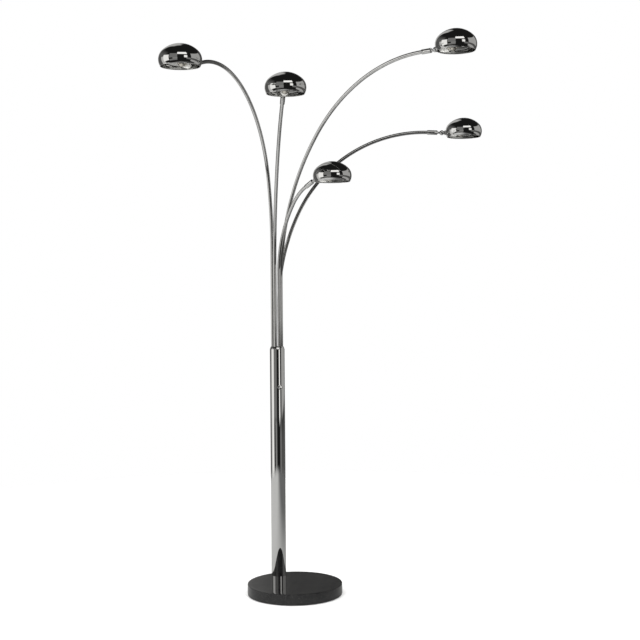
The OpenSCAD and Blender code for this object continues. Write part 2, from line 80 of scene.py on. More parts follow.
class EffectLibrary:
    """Builds each shared effect once, as a shader node group."""

    def __init__(self) -> None:
        """Starts with no group built."""
        self._built: dict[Effect, bpy.types.ShaderNodeTree] = {}

    def get(self, effect: Effect) -> bpy.types.ShaderNodeTree:
        """Gives an effect's group, and builds it on first use.

        Args:
            effect: which effect.

        Returns:
            The node group.
        """
        if effect not in self._built:
            self._built[effect] = {
                Effect.SMUDGE: self._smudge,
                Effect.HAIRLINE: self._hairline,
                Effect.SPECKLE: self._speckle,
                Effect.DUST: self._dust,
                Effect.MOTTLE: self._mottle,
            }[effect]()
        return self._built[effect]

    @staticmethod
    def _open(effect: Effect, inputs: dict[str, float], outputs: Sequence[str]) -> tuple:
        """Makes an empty group with float inputs and outputs.

        Args:
            effect: the effect that names the group.
            inputs: input names with their default values.
            outputs: output names; a name that starts with Tint is a colour.

        Returns:
            The tree, its input node, its output node and its object coordinates socket.
        """
        tree = bpy.data.node_groups.new(effect.value, "ShaderNodeTree")
        for name, value in inputs.items():
            socket = tree.interface.new_socket(name=name, in_out="INPUT", socket_type="NodeSocketFloat")
            socket.default_value = value
        for name in outputs:
            kind = "NodeSocketColor" if name.startswith("Tint") else "NodeSocketFloat"
            tree.interface.new_socket(name=name, in_out="OUTPUT", socket_type=kind)
        source = tree.nodes.new("NodeGroupInput")
        sink = tree.nodes.new("NodeGroupOutput")
        where = tree.nodes.new("ShaderNodeTexCoord")
        return tree, source, sink, where.outputs["Object"]

    @staticmethod
    def _noise(tree: bpy.types.NodeTree, where: bpy.types.NodeSocket, detail: float, rough: float) -> bpy.types.Node:
        """Adds a noise texture on the given coordinates."""
        noise = tree.nodes.new("ShaderNodeTexNoise")
        noise.inputs["Detail"].default_value = detail
        noise.inputs["Roughness"].default_value = rough
        tree.links.new(where, noise.inputs["Vector"])
        return noise

    @staticmethod
    def _ramp(tree: bpy.types.NodeTree, value: bpy.types.NodeSocket, low: float, high: float) -> bpy.types.Node:
        """Adds a smooth step of a value between two levels."""
        step = tree.nodes.new("ShaderNodeMapRange")
        step.interpolation_type = "SMOOTHSTEP"
        step.inputs["From Min"].default_value = low
        step.inputs["From Max"].default_value = high
        tree.links.new(value, step.inputs["Value"])
        return step

    @staticmethod
    def _math(tree: bpy.types.NodeTree, kind: str, *values: object) -> bpy.types.NodeSocket:
        """Adds a math node on sockets or numbers and gives its output."""
        node = tree.nodes.new("ShaderNodeMath")
        node.operation = kind
        for slot, value in zip(node.inputs, values):
            if isinstance(value, (int, float)):
                slot.default_value = value
            else:
                tree.links.new(value, slot)
        return node.outputs[0]

    def _smudge(self) -> bpy.types.ShaderNodeTree:
        """Soft patches where hands have touched the metal, as a roughness and a mask."""
        tree, source, sink, where = self._open(
            Effect.SMUDGE, {"Scale": 9.0, "Clean": 0.03, "Touched": 0.12}, ["Roughness", "Mask"]
        )
        noise = self._noise(tree, where, 5.0, 0.62)
        tree.links.new(source.outputs["Scale"], noise.inputs["Scale"])
        step = self._ramp(tree, noise.outputs["Fac"], 0.52, 0.78)
        tree.links.new(source.outputs["Clean"], step.inputs["To Min"])
        tree.links.new(source.outputs["Touched"], step.inputs["To Max"])
        tree.links.new(step.outputs["Result"], sink.inputs["Roughness"])
        mask = self._ramp(tree, noise.outputs["Fac"], 0.5, 0.8)
        tree.links.new(mask.outputs["Result"], sink.inputs["Mask"])
        return tree

    def _hairline(self) -> bpy.types.ShaderNodeTree:
        """Fine parallel lines from turning and wiping, as a height."""
        tree, source, sink, where = self._open(
            Effect.HAIRLINE, {"Scale": 60.0, "Stretch": 14.0, "Strength": 1.0}, ["Height"]
        )
        join = tree.nodes.new("ShaderNodeCombineXYZ")
        join.inputs["X"].default_value = 1.0
        join.inputs["Y"].default_value = 1.0
        tree.links.new(source.outputs["Stretch"], join.inputs["Z"])
        stretched = tree.nodes.new("ShaderNodeVectorMath")
        stretched.operation = "MULTIPLY"
        tree.links.new(where, stretched.inputs[0])
        tree.links.new(join.outputs["Vector"], stretched.inputs[1])
        noise = self._noise(tree, stretched.outputs["Vector"], 3.0, 0.7)
        tree.links.new(source.outputs["Scale"], noise.inputs["Scale"])
        height = self._math(tree, "MULTIPLY", noise.outputs["Fac"], source.outputs["Strength"])
        tree.links.new(height, sink.inputs["Height"])
        return tree

    def _speckle(self) -> bpy.types.ShaderNodeTree:
        """Small crystals in a dark stone: a tint, and a mask of the brightest ones."""
        tree, source, sink, where = self._open(
            Effect.SPECKLE, {"Scale": 420.0, "Share": 0.06}, ["Tint", "Mask"]
        )
        cells = tree.nodes.new("ShaderNodeTexVoronoi")
        tree.links.new(where, cells.inputs["Vector"])
        tree.links.new(source.outputs["Scale"], cells.inputs["Scale"])
        split = tree.nodes.new("ShaderNodeSeparateColor")
        tree.links.new(cells.outputs["Color"], split.inputs["Color"])
        limit = self._math(tree, "SUBTRACT", 1.0, source.outputs["Share"])
        bright = self._math(tree, "GREATER_THAN", split.outputs["Red"], limit)
        tree.links.new(bright, sink.inputs["Mask"])
        cloud = self._noise(tree, where, 6.0, 0.6)
        cloud.inputs["Scale"].default_value = 38.0
        ramp = tree.nodes.new("ShaderNodeValToRGB")
        ramp.color_ramp.elements[0].position = 0.35
        ramp.color_ramp.elements[0].color = (0.006, 0.006, 0.0065, 1.0)
        ramp.color_ramp.elements[1].position = 0.75
        ramp.color_ramp.elements[1].color = (0.016, 0.016, 0.0155, 1.0)
        tree.links.new(cloud.outputs["Fac"], ramp.inputs["Fac"])
        tree.links.new(ramp.outputs["Color"], sink.inputs["Tint"])
        return tree

    def _dust(self) -> bpy.types.ShaderNodeTree:
        """A thin film of dust on what faces up, as a mask."""
        tree, source, sink, where = self._open(
            Effect.DUST, {"Amount": 0.1, "Scale": 160.0}, ["Mask"]
        )
        facing = tree.nodes.new("ShaderNodeNewGeometry")
        split = tree.nodes.new("ShaderNodeSeparateXYZ")
        tree.links.new(facing.outputs["Normal"], split.inputs["Vector"])
        up = self._ramp(tree, split.outputs["Z"], 0.55, 0.98)
        noise = self._noise(tree, where, 4.0, 0.7)
        tree.links.new(source.outputs["Scale"], noise.inputs["Scale"])
        grains = self._ramp(tree, noise.outputs["Fac"], 0.45, 0.75)
        film = self._math(tree, "MULTIPLY", up.outputs["Result"], grains.outputs["Result"])
        tree.links.new(self._math(tree, "MULTIPLY", film, source.outputs["Amount"]), sink.inputs["Mask"])
        return tree

    def _mottle(self) -> bpy.types.ShaderNodeTree:
        """A faint unevenness of moulded or sprayed surfaces: a mask and a height."""
        tree, source, sink, where = self._open(
            Effect.MOTTLE, {"Scale": 240.0, "Contrast": 1.0}, ["Mask", "Height"]
        )
        noise = self._noise(tree, where, 4.0, 0.55)
        tree.links.new(source.outputs["Scale"], noise.inputs["Scale"])
        step = self._ramp(tree, noise.outputs["Fac"], 0.3, 0.7)
        mask = self._math(tree, "MULTIPLY", step.outputs["Result"], source.outputs["Contrast"])
        tree.links.new(mask, sink.inputs["Mask"])
        tree.links.new(noise.outputs["Fac"], sink.inputs["Height"])
        return tree


EFFECTS = EffectLibrary()


# ---------------------------------------------------------------------------
# Finishes
# ---------------------------------------------------------------------------


class Paintwork:
    """A material under construction, with a Principled shader in it."""

    def __init__(self, name: str) -> None:
        """Starts a material.

        Args:
            name: the material's name.
        """
        self.material = bpy.data.materials.new(name)
        self.material.use_nodes = True
        self.tree = self.material.node_tree
        self.shader = self.tree.nodes["Principled BSDF"]

    def set(self, **values: object) -> None:
        """Sets plain values on the shader's own sockets, with _ for a space in a name."""
        for name, value in values.items():
            self.shader.inputs[name.replace("_", " ")].default_value = value

    def effect(self, effect: Effect, **values: float) -> bpy.types.Node:
        """Places a shared effect with its own values.

        Args:
            effect: which effect.
            values: its input values.

        Returns:
            The group node.
        """
        node = self.tree.nodes.new("ShaderNodeGroup")
        node.node_tree = EFFECTS.get(effect)
        for name, value in values.items():
            node.inputs[name].default_value = value
        return node

    def blend(self, mask: bpy.types.NodeSocket, low: object, high: object) -> bpy.types.NodeSocket:
        """Mixes two colours by a mask.

        Args:
            mask: the mask's socket.
            low: a colour or socket where the mask is 0.
            high: a colour or socket where the mask is 1.

        Returns:
            The mixed colour's socket.
        """
        mix = self.tree.nodes.new("ShaderNodeMix")
        mix.data_type = "RGBA"
        self.tree.links.new(mask, mix.inputs["Factor"])
        for slot, value in ((mix.inputs[6], low), (mix.inputs[7], high)):
            if isinstance(value, tuple):
                slot.default_value = (*value, 1.0)
            else:
                self.tree.links.new(value, slot)
        return mix.outputs[2]

    def span(self, value: bpy.types.NodeSocket, low: float, high: float) -> bpy.types.NodeSocket:
        """Maps a 0 to 1 mask to a range of plain values."""
        node = self.tree.nodes.new("ShaderNodeMapRange")
        node.inputs["To Min"].default_value = low
        node.inputs["To Max"].default_value = high
        self.tree.links.new(value, node.inputs["Value"])
        return node.outputs["Result"]

    def feed(self, socket: bpy.types.NodeSocket, name: str) -> None:
        """Links a socket to one of the shader's inputs."""
        self.tree.links.new(socket, self.shader.inputs[name])

    def bump(self, height: bpy.types.NodeSocket, strength: float, distance: float) -> None:
        """Feeds a height to the shader's normal through a Bump node."""
        node = self.tree.nodes.new("ShaderNodeBump")
        node.inputs["Strength"].default_value = strength
        node.inputs["Distance"].default_value = distance
        self.tree.links.new(height, node.inputs["Height"])
        self.feed(node.outputs["Normal"], "Normal")


@dataclass(frozen=True)
class PlatedMetal:
    """Chrome, zinc or brass plate: a tint, its smudges and its fine lines."""

    name: str
    tint: Colour
    worn_tint: Colour
    clean: float
    touched: float
    smudge_scale: float
    line_strength: float
    line_scale: float = 90.0

    def build(self) -> bpy.types.Material:
        """Makes the material."""
        work = Paintwork(self.name)
        work.set(Metallic=1.0, IOR=2.2)
        smudge = work.effect(Effect.SMUDGE, Scale=self.smudge_scale, Clean=self.clean, Touched=self.touched)
        work.feed(smudge.outputs["Roughness"], "Roughness")
        dust = work.effect(Effect.DUST, Amount=0.05)
        plate = work.blend(smudge.outputs["Mask"], self.tint, self.worn_tint)
        work.feed(work.blend(dust.outputs["Mask"], plate, (0.62, 0.61, 0.59)), "Base Color")
        lines = work.effect(Effect.HAIRLINE, Scale=self.line_scale)
        work.bump(lines.outputs["Height"], self.line_strength, 0.00002)
        return work.material


@dataclass(frozen=True)
class PolishedStone:
    """Black stone with small crystals, polished to a gloss."""

    name: str = "polished_black_stone"
    crystal: Colour = (0.036, 0.036, 0.034)
    polish: float = 0.045
    dull: float = 0.1

    def build(self) -> bpy.types.Material:
        """Makes the material."""
        work = Paintwork(self.name)
        work.set(IOR=1.56, Specular_IOR_Level=0.45)
        speckle = work.effect(Effect.SPECKLE, Scale=520.0, Share=0.05)
        ground = work.blend(speckle.outputs["Mask"], speckle.outputs["Tint"], self.crystal)
        dust = work.effect(Effect.DUST, Amount=0.015, Scale=120.0)
        work.feed(work.blend(dust.outputs["Mask"], ground, (0.3, 0.29, 0.27)), "Base Color")
        smudge = work.effect(Effect.SMUDGE, Scale=14.0, Clean=self.polish, Touched=self.dull)
        work.feed(smudge.outputs["Roughness"], "Roughness")
        waves = work.effect(Effect.MOTTLE, Scale=16.0)
        work.bump(waves.outputs["Height"], 0.12, 0.0006)
        return work.material


@dataclass(frozen=True)
class SprayedLacquer:
    """Opaque lacquer with a faint spray texture."""

    name: str
    tint: Colour
    shade_tint: Colour
    gloss: float
    texture: float = 0.25

    def build(self) -> bpy.types.Material:
        """Makes the material."""
        work = Paintwork(self.name)
        work.set(IOR=1.5, Coat_Weight=0.3, Coat_Roughness=0.12)
        mottle = work.effect(Effect.MOTTLE, Scale=260.0)
        work.feed(work.blend(mottle.outputs["Mask"], self.tint, self.shade_tint), "Base Color")
        work.feed(work.span(mottle.outputs["Mask"], self.gloss, self.gloss + 0.1), "Roughness")
        work.bump(mottle.outputs["Height"], self.texture, 0.0002)
        return work.material


@dataclass(frozen=True)
class MouldedBlack:
    """Rubber or black plastic with a fine moulded grain."""

    name: str
    tint: Colour
    grain: float
    roughness: float

    def build(self) -> bpy.types.Material:
        """Makes the material."""
        work = Paintwork(self.name)
        work.set(IOR=1.5, Sheen_Weight=0.05)
        mottle = work.effect(Effect.MOTTLE, Scale=self.grain)
        pale = tuple(min(1.0, 1.8 * c + 0.01) for c in self.tint)
        work.feed(work.blend(mottle.outputs["Mask"], self.tint, pale), "Base Color")
        work.feed(work.span(mottle.outputs["Mask"], self.roughness, self.roughness + 0.15), "Roughness")
        work.bump(mottle.outputs["Height"], 0.5, 0.0003)
        return work.material


@dataclass(frozen=True)
class OpalGlass:
    """A bulb's white glass envelope, a little translucent."""

    name: str = "opal_bulb_glass"
    tint: Colour = (0.93, 0.92, 0.86)

    def build(self) -> bpy.types.Material:
        """Makes the material."""
        work = Paintwork(self.name)
        work.set(
            IOR=1.5, Metallic=0.0, Subsurface_Weight=0.35, Subsurface_Scale=0.004, Coat_Weight=0.6, Coat_Roughness=0.04
        )
        mottle = work.effect(Effect.MOTTLE, Scale=90.0)
        cream = (0.86, 0.84, 0.74)
        work.feed(work.blend(mottle.outputs["Mask"], self.tint, cream), "Base Color")
        work.feed(work.span(mottle.outputs["Mask"], 0.12, 0.2), "Roughness")
        work.bump(mottle.outputs["Height"], 0.08, 0.0001)
        return work.material


class Finish(Enum):
    """Every finish on the lamp."""

    CHROME = PlatedMetal("mirror_chrome", (0.74, 0.74, 0.73), (0.68, 0.68, 0.67), 0.018, 0.06, 7.0, 0.05)
    TUBE = PlatedMetal("tube_chrome", (0.74, 0.74, 0.73), (0.66, 0.66, 0.65), 0.035, 0.1, 16.0, 0.12, 140.0)
    ZINC = PlatedMetal("zinc_plate", (0.56, 0.57, 0.58), (0.42, 0.43, 0.44), 0.24, 0.42, 60.0, 0.5)
    BRASS = PlatedMetal("bulb_cap_nickel", (0.72, 0.69, 0.62), (0.55, 0.52, 0.45), 0.16, 0.32, 80.0, 0.4)
    STONE = PolishedStone()
    LACQUER = SprayedLacquer("white_inner_lacquer", (0.84, 0.84, 0.8), (0.79, 0.79, 0.74), 0.3)
    PORCELAIN = SprayedLacquer("white_porcelain", (0.83, 0.83, 0.8), (0.78, 0.77, 0.73), 0.14, 0.12)
    RUBBER = MouldedBlack("black_rubber", (0.018, 0.018, 0.018), 420.0, 0.62)
    PLASTIC = MouldedBlack("black_plastic", (0.03, 0.03, 0.031), 700.0, 0.38)
    OPAL = OpalGlass()


class PaintShop:
    """Builds each finish once and hands out its material."""

    def __init__(self) -> None:
        """Starts with no material built."""
        self._made: dict[Finish, bpy.types.Material] = {}

    def get(self, finish: Finish) -> bpy.types.Material:
        """Gives a finish's material, and builds it on first use."""
        if finish not in self._made:
            self._made[finish] = finish.value.build()
        return self._made[finish]


PAINT = PaintShop()


# ---------------------------------------------------------------------------
# Mesh making
# ---------------------------------------------------------------------------


def along(origin: Vector, direction: Vector) -> Matrix:
    """Gives the placement whose +Z runs from an origin along a direction.

    Args:
        origin: the start point.
        direction: the new +Z.

    Returns:
        The 4x4 placement.
    """
    return Matrix.Translation(origin) @ direction.to_track_quat("Z", "X").to_matrix().to_4x4()


def rounded(profile: Profile, radius: float, steps: int = 4) -> Profile:
    """Rounds the inner corners of an open profile.

    Args:
        profile: (radius, height) points.
        radius: how far each rounding reaches along its sides.
        steps: pieces in each rounding.

    Returns:
        The rounded profile.
    """
    out: Profile = [profile[0]]
    for before, corner, after in zip(profile, profile[1:], profile[2:]):
        c, a, b = Vector(corner), Vector(before), Vector(after)
        if corner[0] < 1e-9 or (a - c).length < 1e-9 or (b - c).length < 1e-9:
            out.append(corner)
            continue
        start = c + (a - c).normalized() * min(radius, (a - c).length * 0.45)
        end = c + (b - c).normalized() * min(radius, (b - c).length * 0.45)
        for k in range(steps + 1):
            t = k / steps
            p = start * (1 - t) ** 2 + c * 2 * t * (1 - t) + end * t * t
            out.append((p.x, p.y))
    out.append(profile[-1])
    return out


def arc(centre: tuple[float, float], radius: float, start: float, end: float, steps: int) -> Profile:
    """Gives points on an arc of a profile, from one angle to another in radians."""
    return [
        (centre[0] + radius * math.cos(start + (end - start) * k / steps),
         centre[1] + radius * math.sin(start + (end - start) * k / steps))
        for k in range(steps + 1)
    ]


def lathe(profile: Profile, around: int, ring: bool = False, bands: Sequence[int] | None = None) -> bmesh.types.BMesh:
    """Turns a profile round the Z axis into a closed mesh whose faces point outwards.

    Args:
        profile: (radius, height) points; an open one starts and ends on the axis.
        around: facets in a full turn.
        ring: True if the profile closes on itself.
        bands: the material index of each profile step.

    Returns:
        The mesh.
    """
    points = list(profile)
    loop = points + [points[0]]
    area = sum(a[0] * b[1] - b[0] * a[1] for a, b in zip(loop, loop[1:]))
    bands = list(bands) if bands is not None else [0] * len(points)
    if area < 0:
        points.reverse()
        steps = len(points) - (0 if ring else 1)
        bands = list(reversed(bands[: len(points) - 1])) + (bands[len(points) - 1: steps] if ring else [])
    mesh = bmesh.new()
    rows = []
    for r, z in points:
        if r < 1e-7:
            rows.append([mesh.verts.new((0.0, 0.0, z))] * around)
        else:
            rows.append([
                mesh.verts.new((r * math.cos(2 * math.pi * k / around), r * math.sin(2 * math.pi * k / around), z))
                for k in range(around)
            ])
    pairs = list(zip(rows, rows[1:])) + ([(rows[-1], rows[0])] if ring else [])
    for step, (low, high) in enumerate(pairs):
        for k in range(around):
            m = (k + 1) % around
            corners = list(dict.fromkeys([low[k], low[m], high[m], high[k]]))
            if len(corners) > 2:
                face = mesh.faces.new(corners)
                face.material_index = bands[step] if step < len(bands) else 0
    return mesh


def deliver(
    name: str,
    mesh: bmesh.types.BMesh | bpy.types.Mesh,
    body: str,
    finishes: Sequence[Finish],
    stands_for: Iterable[str] = (),
    place: Matrix | None = None,
    crease: float = 38.0,
) -> bpy.types.Object:
    """Turns a mesh into a finished piece that rides on a body.

    Args:
        name: the piece's name.
        mesh: its mesh.
        body: the body it rides on.
        finishes: one finish for each material index.
        stands_for: CAD nodes that it replaces.
        place: where the mesh goes.
        crease: the angle in degrees past which an edge stays sharp.

    Returns:
        The piece.
    """
    if isinstance(mesh, bmesh.types.BMesh):
        data = bpy.data.meshes.new(name)
        mesh.to_mesh(data)
        mesh.free()
    else:
        data = mesh
        data.name = name
    if place is not None:
        data.transform(place)
    data.shade_smooth()
    data.set_sharp_from_angle(angle=math.radians(crease))
    data.materials.clear()
    for finish in finishes:
        data.materials.append(PAINT.get(finish))
    piece = bpy.data.objects.new(name, data)
    bpy.context.scene.collection.objects.link(piece)
    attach(piece, body)
    nodes = list(stands_for)
    if nodes:
        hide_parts(*nodes)
    LOG.info("%s: %d faces on %s", name, len(data.polygons), body)
    return piece


def baked(mesh: bpy.types.Mesh, *modifiers: tuple[str, dict[str, object]]) -> bpy.types.Mesh:
    """Runs modifiers over a mesh and gives the plain result.

    Args:
        mesh: the mesh to start from.
        modifiers: each modifier's type and its settings.

    Returns:
        The resulting mesh.
    """
    holder = bpy.data.objects.new("holder", mesh)
    bpy.context.scene.collection.objects.link(holder)
    for kind, settings in modifiers:
        modifier = holder.modifiers.new(kind.lower(), kind)
        for key, value in settings.items():
            setattr(modifier, key, value)
    depsgraph = bpy.context.evaluated_depsgraph_get()
    result = bpy.data.meshes.new_from_object(holder.evaluated_get(depsgraph))
    bpy.data.objects.remove(holder)
    return result


def machined(node: str, bevel: float) -> bpy.types.Mesh:
    """Copies a CAD node's mesh, merges it and breaks its sharp edges as a machinist would.

    Args:
        node: the node.
        bevel: the width of the broken edges.

    Returns:
        The new mesh.
    """
    shape = bmesh.new()
    shape.from_mesh(frame["nodes"][node].data)
    bmesh.ops.remove_doubles(shape, verts=shape.verts, dist=2e-6)
    bmesh.ops.dissolve_limit(
        shape, angle_limit=math.radians(0.8), use_dissolve_boundaries=False, verts=shape.verts, edges=shape.edges
    )
    mesh = bpy.data.meshes.new(node + "_copy")
    shape.to_mesh(mesh)
    shape.free()
    if bevel <= 0:
        return mesh
    edge = {"width": bevel, "segments": 2, "limit_method": "ANGLE", "angle_limit": math.radians(40.0),
            "harden_normals": False, "use_clamp_overlap": True}
    return baked(mesh, ("BEVEL", edge))


def cut(mesh: bpy.types.Mesh, *cutters: bmesh.types.BMesh) -> bpy.types.Mesh:
    """Takes cutters away from a closed mesh.

    Args:
        mesh: the mesh to cut.
        cutters: closed meshes to take away.

    Returns:
        The cut mesh.
    """
    tools = []
    steps = []
    for number, shape in enumerate(cutters):
        data = bpy.data.meshes.new(f"cutter_{number}")
        shape.to_mesh(data)
        shape.free()
        tool = bpy.data.objects.new(f"cutter_{number}", data)
        bpy.context.scene.collection.objects.link(tool)
        tools.append(tool)
        steps.append(("BOOLEAN", {"operation": "DIFFERENCE", "solver": "EXACT", "object": tool}))
    result = baked(mesh, *steps)
    for tool in tools:
        bpy.data.objects.remove(tool)
    return result


def bar(radius: float, length: float, place: Matrix, around: int = 64) -> bmesh.types.BMesh:
    """Gives a plain round bar for cutting, from its placement's origin along its +Z."""
    shape = lathe([(0, 0), (radius, 0), (radius, length), (0, length)], around)
    bmesh.ops.transform(shape, matrix=place, verts=shape.verts)
    return shape


# ---------------------------------------------------------------------------
# Geometry Nodes trees
# ---------------------------------------------------------------------------


class Recipe:
    """A geometry node tree with named inputs, which ends in Realize Instances and Set Material."""

    def __init__(self, name: str, inputs: dict[str, tuple[str, object]]) -> None:
        """Starts a tree.

        Args:
            name: the tree's name.
            inputs: each input's socket type and default value.
        """
        self.tree = bpy.data.node_groups.new(name, "GeometryNodeTree")
        face = self.tree.interface
        face.new_socket(name="Geometry", in_out="INPUT", socket_type="NodeSocketGeometry")
        self.sockets: dict[str, str] = {}
        for key, (kind, value) in inputs.items():
            socket = face.new_socket(name=key, in_out="INPUT", socket_type=kind)
            socket.default_value = value
            self.sockets[key] = socket.identifier
        self.sockets["Material"] = face.new_socket(
            name="Material", in_out="INPUT", socket_type="NodeSocketMaterial"
        ).identifier
        face.new_socket(name="Geometry", in_out="OUTPUT", socket_type="NodeSocketGeometry")
        self.source = self.tree.nodes.new("NodeGroupInput")
        self.sink = self.tree.nodes.new("NodeGroupOutput")

    def node(self, kind: str, links: dict[object, object] | None = None, **settings: object) -> bpy.types.Node:
        """Adds a node, with its settings and its linked or plain inputs.

        Args:
            kind: the node's type.
            links: input name or index to a socket or a plain value.
            settings: the node's own properties.

        Returns:
            The node.
        """
        node = self.tree.nodes.new(kind)
        for key, value in settings.items():
            setattr(node, key, value)
        for key, value in (links or {}).items():
            if isinstance(value, bpy.types.NodeSocket):
                self.tree.links.new(value, node.inputs[key])
            else:
                node.inputs[key].default_value = value
        return node

    def value(self, name: str) -> bpy.types.NodeSocket:
        """Gives one of the tree's own inputs as a socket."""
        return self.source.outputs[name]

    def close(self, result: bpy.types.NodeSocket) -> None:
        """Ends the tree: real geometry, smooth faces and the finish."""
        real = self.node("GeometryNodeRealizeInstances", {"Geometry": result})
        smooth = self.node("GeometryNodeSetShadeSmooth", {"Geometry": real.outputs["Geometry"]})
        painted = self.node(
            "GeometryNodeSetMaterial", {"Geometry": smooth.outputs["Geometry"], "Material": self.value("Material")}
        )
        self.tree.links.new(painted.outputs["Geometry"], self.sink.inputs["Geometry"])

    def run(self, mesh: bpy.types.Mesh, finish: Finish, **values: object) -> bpy.types.Mesh:
        """Runs the tree on a mesh.

        Args:
            mesh: the mesh that the tree starts from.
            finish: the finish that it sets.
            values: input values, with _ for a space in a name.

        Returns:
            The plain mesh that comes out.
        """
        holder = bpy.data.objects.new("recipe_holder", mesh)
        bpy.context.scene.collection.objects.link(holder)
        modifier = holder.modifiers.new("recipe", "NODES")
        modifier.node_group = self.tree
        for name, value in values.items():
            modifier[self.sockets[name.replace("_", " ")]] = value
        modifier[self.sockets["Material"]] = PAINT.get(finish)
        depsgraph = bpy.context.evaluated_depsgraph_get()
        result = bpy.data.meshes.new_from_object(holder.evaluated_get(depsgraph))
        bpy.data.objects.remove(holder)
        return result


def swept_tube_recipe() -> Recipe:
    """Sweeps a round section along the mesh's edges: once for the outside and once for the bore."""
    recipe = Recipe("swept_tube", {
        "Outer Radius": ("NodeSocketFloat", 0.0065), "Bore Radius": ("NodeSocketFloat", 0.0053),
        "Facets": ("NodeSocketInt", 40),
    })
    line = recipe.node("GeometryNodeMeshToCurve", {"Mesh": recipe.value("Geometry")})
    skins = []
    for name in ("Outer Radius", "Bore Radius"):
        circle = recipe.node(
            "GeometryNodeCurvePrimitiveCircle", {"Resolution": recipe.value("Facets"), "Radius": recipe.value(name)}
        )
        skins.append(recipe.node(
            "GeometryNodeCurveToMesh", {"Curve": line.outputs["Curve"], "Profile Curve": circle.outputs["Curve"]}
        ).outputs["Mesh"])
    inner = recipe.node("GeometryNodeFlipFaces", {"Mesh": skins[1]})
    both = recipe.node("GeometryNodeJoinGeometry")
    recipe.tree.links.new(skins[0], both.inputs["Geometry"])
    recipe.tree.links.new(inner.outputs["Mesh"], both.inputs["Geometry"])
    recipe.close(both.outputs["Geometry"])
    return recipe


def ring_recipe() -> Recipe:
    """Sets the same small round ring on every point of the mesh, lying flat."""
    recipe = Recipe("flat_rings", {
        "Ring Radius": ("NodeSocketFloat", 0.007), "Section Radius": ("NodeSocketFloat", 0.0005),
        "Facets": ("NodeSocketInt", 48),
    })
    hoop = recipe.node(
        "GeometryNodeCurvePrimitiveCircle", {"Resolution": recipe.value("Facets"), "Radius": recipe.value("Ring Radius")}
    )
    section = recipe.node(
        "GeometryNodeCurvePrimitiveCircle", {"Resolution": 12, "Radius": recipe.value("Section Radius")}
    )
    torus = recipe.node(
        "GeometryNodeCurveToMesh", {"Curve": hoop.outputs["Curve"], "Profile Curve": section.outputs["Curve"]}
    )
    points = recipe.node("GeometryNodeMeshToPoints", {"Mesh": recipe.value("Geometry")})
    copies = recipe.node(
        "GeometryNodeInstanceOnPoints", {"Points": points.outputs["Points"], "Instance": torus.outputs["Mesh"]}
    )
    recipe.close(copies.outputs["Instances"])
    return recipe


def rib_recipe() -> Recipe:
    """Sets a ring of rounded ribs round the Z axis, each along the axis."""
    recipe = Recipe("rib_ring", {
        "Count": ("NodeSocketInt", 24), "Ring Radius": ("NodeSocketFloat", 0.007),
        "Rib Radius": ("NodeSocketFloat", 0.0004), "Rib Length": ("NodeSocketFloat", 0.006),
        "Height": ("NodeSocketFloat", 0.0),
    })
    circle = recipe.node(
        "GeometryNodeCurvePrimitiveCircle", {"Resolution": recipe.value("Count"), "Radius": recipe.value("Ring Radius")}
    )
    points = recipe.node("GeometryNodeCurveToPoints", {"Curve": circle.outputs["Curve"]}, mode="EVALUATED")
    rib = recipe.node(
        "GeometryNodeMeshCylinder",
        {"Vertices": 10, "Side Segments": 1, "Radius": recipe.value("Rib Radius"), "Depth": recipe.value("Rib Length")},
    )
    copies = recipe.node(
        "GeometryNodeInstanceOnPoints", {"Points": points.outputs["Points"], "Instance": rib.outputs["Mesh"]}
    )
    lift = recipe.node("ShaderNodeCombineXYZ", {"Z": recipe.value("Height")})
    moved = recipe.node(
        "GeometryNodeTransform", {"Geometry": copies.outputs["Instances"], "Translation": lift.outputs["Vector"]}
    )
    recipe.close(moved.outputs["Geometry"])
    return recipe


def points_mesh(points: Sequence[Vector], joined: bool) -> bpy.types.Mesh:
    """Gives a mesh of points, joined in a line or apart."""
    mesh = bpy.data.meshes.new("points")
    edges = [(k, k + 1) for k in range(len(points) - 1)] if joined else []
    mesh.from_pydata([tuple(p) for p in points], edges, [])
    return mesh


# ---------------------------------------------------------------------------
# The frame's own facts
# ---------------------------------------------------------------------------


class Layout:
    """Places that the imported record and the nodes' boxes give."""

    def __init__(self) -> None:
        """Reads the joints and the post's box."""
        self.joints = {joint["name"]: joint for joint in frame["joints"]}
        low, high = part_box("post_tube")
        self.post = Vector(((low[0] + high[0]) / 2, (low[1] + high[1]) / 2, low[2]))
        self.post_top = high[2]

    def seat(self, number: int) -> Vector:
        """Gives the point where an arm leaves the crown's top."""
        return Vector(self.joints[f"arm_{number}_swing"]["pos_m"])

    def pivot(self, number: int) -> Vector:
        """Gives an arm's pivot point."""
        return Vector(self.joints[f"shade_{number}_tilt"]["pos_m"])

    def heading(self, number: int) -> Vector:
        """Gives the level direction that an arm leans in."""
        axis = self.joints[f"shade_{number}_tilt"]["axis"]
        return Vector((axis[1], -axis[0], 0.0)).normalized()

    def dimmer(self) -> tuple[Vector, Vector]:
        """Gives the knob's inner end and the direction that it faces."""
        joint = self.joints["dimmer_turn"]
        return Vector(joint["pos_m"]), Vector(joint["axis"]).normalized()


# ---------------------------------------------------------------------------
# Sub-assemblies
# ---------------------------------------------------------------------------


